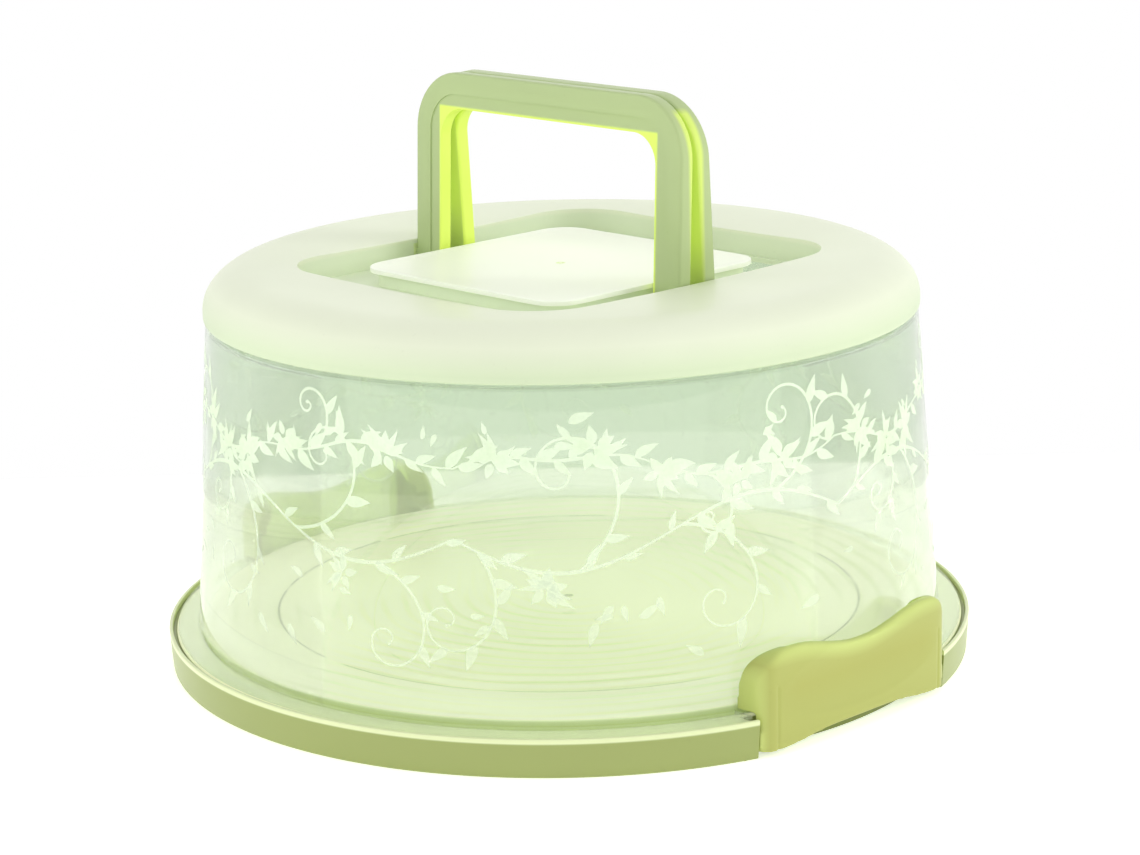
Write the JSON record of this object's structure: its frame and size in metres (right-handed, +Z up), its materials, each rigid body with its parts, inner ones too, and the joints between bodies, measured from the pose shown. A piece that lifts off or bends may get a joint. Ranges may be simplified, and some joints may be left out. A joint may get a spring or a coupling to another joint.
{
  "type": "cake carrier",
  "caption": "Round cake carrier: a tray, a clear printed dome with a pale cap, hinged side clips that shut over the dome's foot, and twin arched handles that fold flat into a well",
  "frame": {"origin": "centre of the tray, on the plane it rests on", "axes": "+Z up; the two clips and the handles' bars lie along X; the front handle and its fold lie towards -Y"},
  "size_m": [0.292, 0.3, 0.211],
  "materials": {
    "tray_plastic": "glossy lime green moulded plastic, slightly translucent",
    "clear_dome": "clear moulded plastic with a pale frosted print",
    "cap_plastic": "very pale green moulded plastic, satin",
    "screw_steel": "plain steel",
    "handle_plastic": "lime green moulded plastic, satin",
    "clip_plastic": "lime green moulded plastic, satin"
  },
  "bodies": {
    "tray": {"base_tray": "tray_plastic"},
    "lid": {"dome_cover": "clear_dome", "top_cap": "cap_plastic", "handle_panel": "cap_plastic", "cap_screws": "screw_steel"},
    "front_handle": {"front_handle": "handle_plastic"},
    "rear_handle": {"rear_handle": "handle_plastic"},
    "right_clip": {"right_clip": "clip_plastic"},
    "left_clip": {"left_clip": "clip_plastic"}
  },
  "joints": [
    {"name": "lid_lift", "type": "slide", "parent": "tray", "child": "lid", "axis": [0, 0, 1], "range_m": [0, 0.16]},
    {"name": "front_handle_fold", "type": "hinge", "parent": "lid", "child": "front_handle", "pos_m": [0, -0.0065, 0.1409], "axis": [1, 0, 0], "range_deg": [0, 92.7]},
    {"name": "rear_handle_fold", "type": "hinge", "parent": "lid", "child": "rear_handle", "pos_m": [0, 0.0065, 0.1409], "axis": [-1, 0, 0], "range_deg": [0, 92.7]},
    {"name": "right_clip_open", "type": "hinge", "parent": "tray", "child": "right_clip", "pos_m": [0.13795, 0, 0.0065], "axis": [0, 1, 0], "range_deg": [0, 20]},
    {"name": "left_clip_open", "type": "hinge", "parent": "tray", "child": "left_clip", "pos_m": [-0.13795, 0, 0.0065], "axis": [0, -1, 0], "range_deg": [0, 20]}
  ]
}
